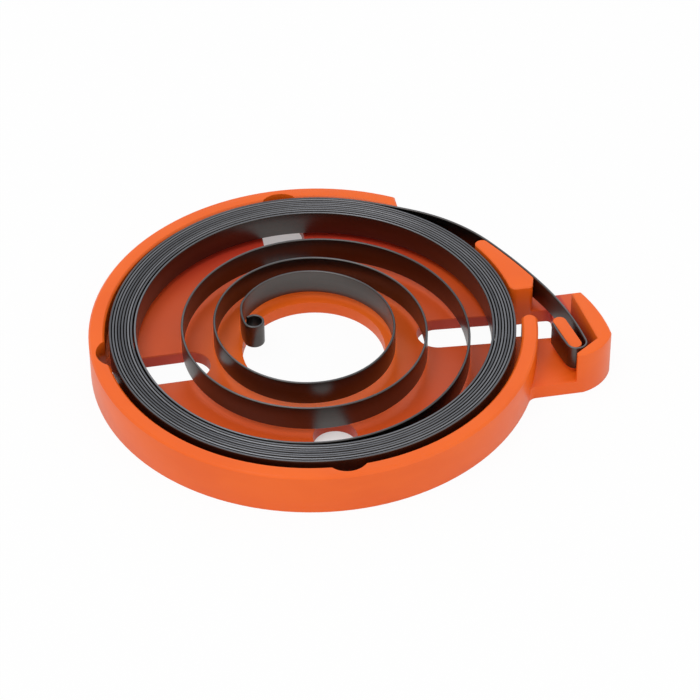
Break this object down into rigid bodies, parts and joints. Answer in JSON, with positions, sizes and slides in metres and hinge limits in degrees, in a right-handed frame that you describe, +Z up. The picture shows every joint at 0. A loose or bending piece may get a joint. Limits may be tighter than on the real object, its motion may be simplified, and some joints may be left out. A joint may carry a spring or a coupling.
{
  "type": "recoil starter rewind spring in a cassette",
  "caption": "Flat coiled strip-steel rewind spring held in a moulded ring cassette with a side anchor lug.",
  "frame": {"origin": "centre of the hub hole at the cassette's underside", "axes": "+Z up along the hub axis, +X from the hub towards the anchor lug"},
  "size_m": [0.0867, 0.076, 0.0084],
  "materials": {
    "strip_steel": "blued, semi-gloss",
    "orange_plastic": "smooth moulded, soft gloss"
  },
  "bodies": {
    "root": {"spring": "strip_steel", "cassette": "orange_plastic"}
  },
  "joints": []
}
